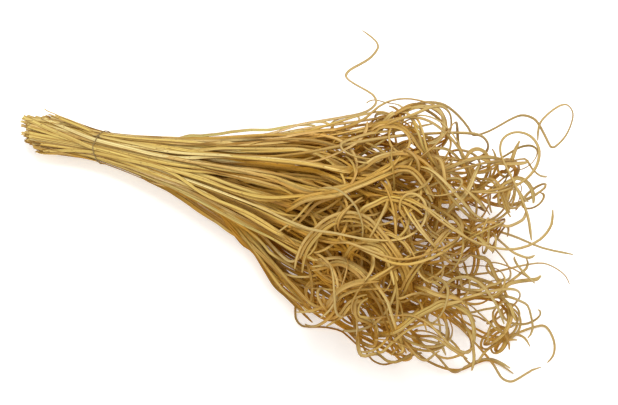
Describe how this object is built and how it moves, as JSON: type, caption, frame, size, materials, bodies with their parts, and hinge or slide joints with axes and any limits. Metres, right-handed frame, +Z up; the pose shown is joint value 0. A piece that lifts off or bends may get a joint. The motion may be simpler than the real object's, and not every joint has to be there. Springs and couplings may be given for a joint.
{
  "type": "bunch of curly ting ting",
  "caption": "Bleached curly ting ting: a bunch of dried flat reeds, straight through a thin tie near the cut ends, fanning out into loose curls; it lies on its side for dried arrangements.",
  "frame": {"origin": "middle of the bunch's box, on the surface that it lies on", "axes": "+X from the cut ends towards the tips, +Y to the bunch's left, +Z up"},
  "size_m": [0.603, 0.3398, 0.1298],
  "materials": {
    "reed": "dry bleached reed, matt with a faint sheen, fine lengthwise fibres, straw gold with paler and browner strands",
    "thread": "thin twisted thread, matt straw brown"
  },
  "bodies": {
    "root": {"reed_04": "reed", "reed_11": "reed", "reed_18": "reed", "reed_26": "reed", "reed_34": "reed", "reed_42": "reed", "reed_49": "reed", "reed_55": "reed", "reed_pair_01": "reed", "reed_pair_02": "reed", "reed_pair_03": "reed", "reed_pair_05": "reed", "reed_pair_06": "reed", "reed_pair_07": "reed", "reed_pair_08": "reed", "reed_pair_09": "reed", "reed_pair_10": "reed", "reed_pair_12": "reed", "reed_pair_13": "reed", "reed_pair_14": "reed", "reed_pair_15": "reed", "reed_pair_16": "reed", "reed_pair_17": "reed", "reed_pair_19": "reed", "reed_pair_20": "reed", "reed_pair_21": "reed", "reed_pair_22": "reed", "reed_pair_23": "reed", "reed_pair_24": "reed", "reed_pair_25": "reed", "reed_pair_27": "reed", "reed_pair_28": "reed", "reed_pair_29": "reed", "reed_pair_30": "reed", "reed_pair_31": "reed", "reed_pair_32": "reed", "reed_pair_33": "reed", "reed_pair_35": "reed", "reed_pair_36": "reed", "reed_pair_37": "reed", "reed_pair_38": "reed", "reed_pair_39": "reed", "reed_pair_40": "reed", "reed_pair_41": "reed", "reed_pair_43": "reed", "reed_pair_44": "reed", "reed_pair_45": "reed", "reed_pair_46": "reed", "reed_pair_47": "reed", "reed_pair_48": "reed", "reed_pair_50": "reed", "reed_pair_51": "reed", "reed_pair_52": "reed", "reed_pair_53": "reed", "reed_pair_54": "reed", "reed_pair_56": "reed", "tie": "thread"}
  },
  "joints": []
}
